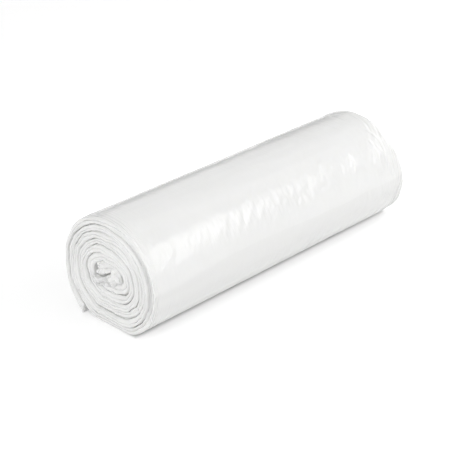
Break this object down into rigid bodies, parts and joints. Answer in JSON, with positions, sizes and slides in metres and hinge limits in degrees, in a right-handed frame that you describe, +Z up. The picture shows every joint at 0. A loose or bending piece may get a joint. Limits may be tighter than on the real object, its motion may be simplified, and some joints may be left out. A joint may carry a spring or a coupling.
{
  "type": "bin bag roll",
  "caption": "Roll of white plastic bin bags, wound without a tube, lying on its flattened foot with its spiral end showing.",
  "frame": {"origin": "on the ground under the middle of the roll's bounding box", "axes": "+X along the roll toward its far end, +Y across it toward the back, where the web's free end lies, +Z up"},
  "size_m": [0.2902, 0.092, 0.087],
  "materials": {
    "film": "thin glossy white polyethylene film, softly wrinkled"
  },
  "bodies": {
    "root": {"bag_roll": "film"}
  },
  "joints": []
}
